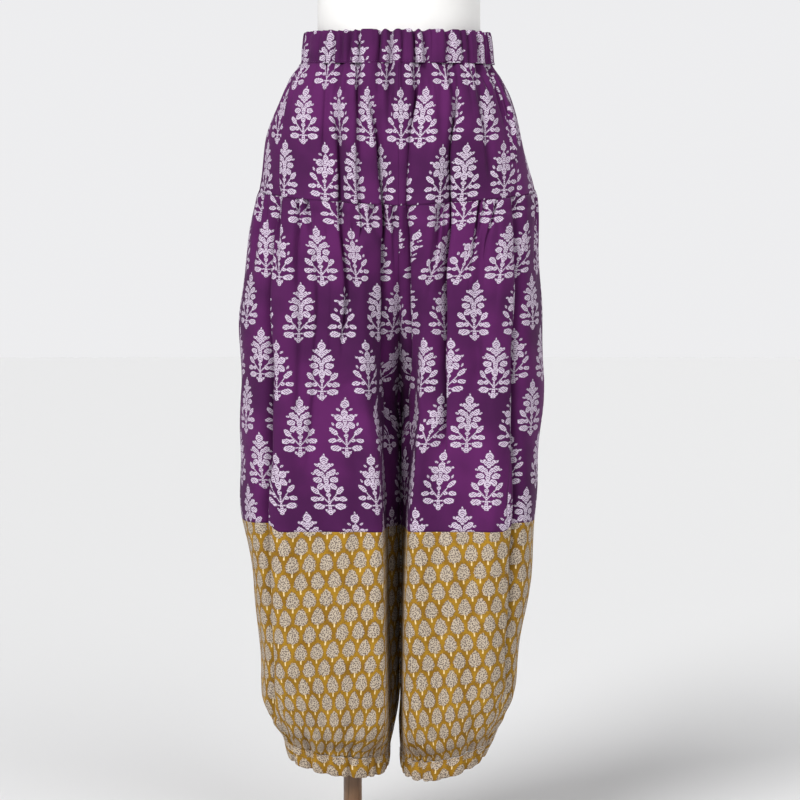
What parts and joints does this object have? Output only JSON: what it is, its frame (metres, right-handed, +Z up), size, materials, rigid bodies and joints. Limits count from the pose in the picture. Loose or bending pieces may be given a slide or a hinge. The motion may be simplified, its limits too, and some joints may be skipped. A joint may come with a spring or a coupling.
{
  "type": "floral print balloon trousers on a limbless dress form",
  "caption": "Gathered balloon trousers with elastic waist and cuffs, printed yoke and lower panels, standing on a limbless dress form.",
  "frame": {"origin": "centre of the underside of the round base, on the floor", "axes": "+Z up, front of the trousers towards -Y, the wearer's left leg towards +X"},
  "size_m": [0.3971, 0.38, 1.5723],
  "materials": {
    "purple_cotton": "matt woven cotton with a pale block print",
    "ochre_cotton": "matt woven cotton with a small leaf print",
    "form_cover": "smooth matt white",
    "stand_wood": "brown stained, satin"
  },
  "bodies": {
    "root": {"waistband": "purple_cotton", "yoke_front_right": "purple_cotton", "yoke_front_left": "purple_cotton", "yoke_back_right": "purple_cotton", "yoke_back_left": "purple_cotton", "leg_front_right": "purple_cotton", "leg_front_left": "purple_cotton", "leg_back_right": "purple_cotton", "leg_back_left": "purple_cotton", "lower_front_right": "ochre_cotton", "lower_front_left": "ochre_cotton", "lower_back_right": "ochre_cotton", "lower_back_left": "ochre_cotton", "cuff_right": "ochre_cotton", "cuff_left": "ochre_cotton", "pocket_edge_left": "purple_cotton", "form_torso": "form_cover", "form_neck_cap": "stand_wood", "form_plate": "stand_wood", "pole": "stand_wood", "pole_flange": "stand_wood", "base": "stand_wood"}
  },
  "joints": []
}
